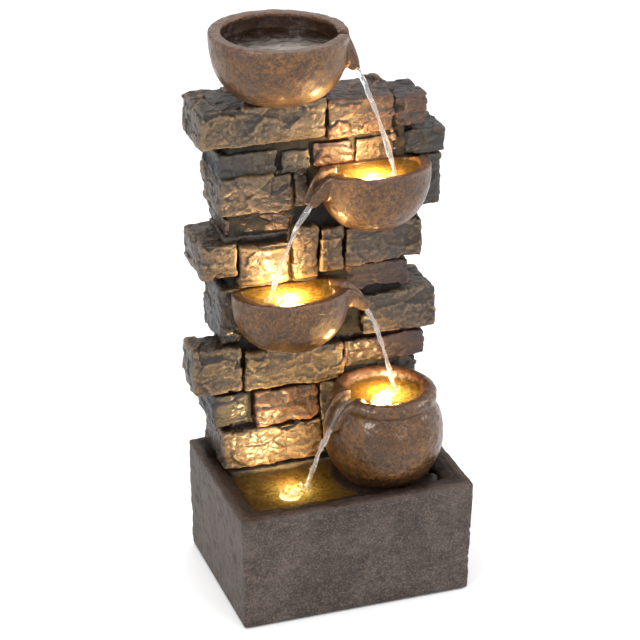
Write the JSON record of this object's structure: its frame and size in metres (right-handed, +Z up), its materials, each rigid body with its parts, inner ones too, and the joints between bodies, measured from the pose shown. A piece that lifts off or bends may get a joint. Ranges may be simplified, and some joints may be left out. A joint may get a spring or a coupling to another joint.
{
  "type": "tabletop water fountain",
  "caption": "Tabletop fountain: rectangular cast basin, stacked-stone tower, cascading bowls and a pot with spouts, lit by small lamps, with a pump, riser tube and rear cover.",
  "frame": {"origin": "centre of the base pad's underside, under the middle of the basin", "axes": "+X to the right seen from the front, the front faces -Y, +Z up"},
  "size_m": [0.184, 0.1275, 0.397],
  "materials": {
    "cement": "pitted cast surface, matt",
    "stacked_stone": "rough cast stone, dry-brushed",
    "back_stone": "rough cast, dark",
    "aged_copper_glaze": "mottled aged copper, satin",
    "foam_pad": "closed-cell foam",
    "lamp_lens": "frosted clear",
    "lamp_board": "lamp board with one warm white chip",
    "black_rubber": "soft rubber",
    "lead_jacket": "soft jacket",
    "clear_tube": "clear vinyl",
    "clear_rubber": "translucent soft rubber",
    "sponge": "open-cell foam",
    "impeller_plastic": "moulded",
    "ceramic_shaft": "ground",
    "grey_plastic": "moulded",
    "black_plastic": "moulded"
  },
  "bodies": {
    "root": {"basin": "cement", "base_pad": "foam_pad", "tower_shell": "stacked_stone", "back_panel": "back_stone", "cable_grommet": "black_rubber", "bowl_top": "aged_copper_glaze", "bowl_upper": "aged_copper_glaze", "bowl_lower": "aged_copper_glaze", "pot": "aged_copper_glaze", "lamp_housing_upper": "black_plastic", "lamp_housing_lower": "black_plastic", "lamp_housing_pot": "black_plastic", "lamp_housing_basin": "black_plastic", "lamp_lens_upper": "lamp_lens", "lamp_lens_lower": "lamp_lens", "lamp_lens_pot": "lamp_lens", "lamp_lens_basin": "lamp_lens", "lamp_board_upper": "lamp_board", "lamp_board_lower": "lamp_board", "lamp_board_pot": "lamp_board", "lamp_board_basin": "lamp_board", "lamp_seal_upper": "black_rubber", "lamp_seal_lower": "black_rubber", "lamp_seal_pot": "black_rubber", "lamp_seal_basin": "black_rubber", "lead_upper": "lead_jacket", "lead_lower": "lead_jacket", "lead_pot": "lead_jacket", "lead_basin": "lead_jacket", "lead_pump": "lead_jacket", "lead_joint": "lead_jacket", "riser_tube": "clear_tube", "top_nozzle": "black_plastic", "nozzle_nut": "black_plastic", "nozzle_seal": "black_rubber", "pump_motor": "black_plastic", "pump_volute": "black_plastic", "impeller_shaft": "ceramic_shaft", "bush_front": "black_rubber", "bush_rear": "black_rubber", "suction_cups": "clear_rubber"},
    "cover": {"rear_cover": "back_stone"},
    "rotor": {"impeller": "impeller_plastic"},
    "dial": {"flow_dial": "grey_plastic"},
    "strainer": {"pump_grille": "black_plastic", "pump_sponge": "sponge"}
  },
  "joints": [
    {"name": "cover_lift", "type": "slide", "parent": "root", "child": "cover", "axis": [0, 1, 0], "range_m": [0, 0.04]},
    {"name": "impeller_spin", "type": "hinge", "parent": "root", "child": "rotor", "pos_m": [-0.03, 0.0365, 0.031], "axis": [1, 0, 0], "continuous": true},
    {"name": "flow_turn", "type": "hinge", "parent": "root", "child": "dial", "pos_m": [-0.0423, 0.0365, 0.031], "axis": [1, 0, 0], "range_deg": [0, 50]},
    {"name": "strainer_pull", "type": "slide", "parent": "root", "child": "strainer", "axis": [-1, 0, 0], "range_m": [0, 0.006]}
  ]
}
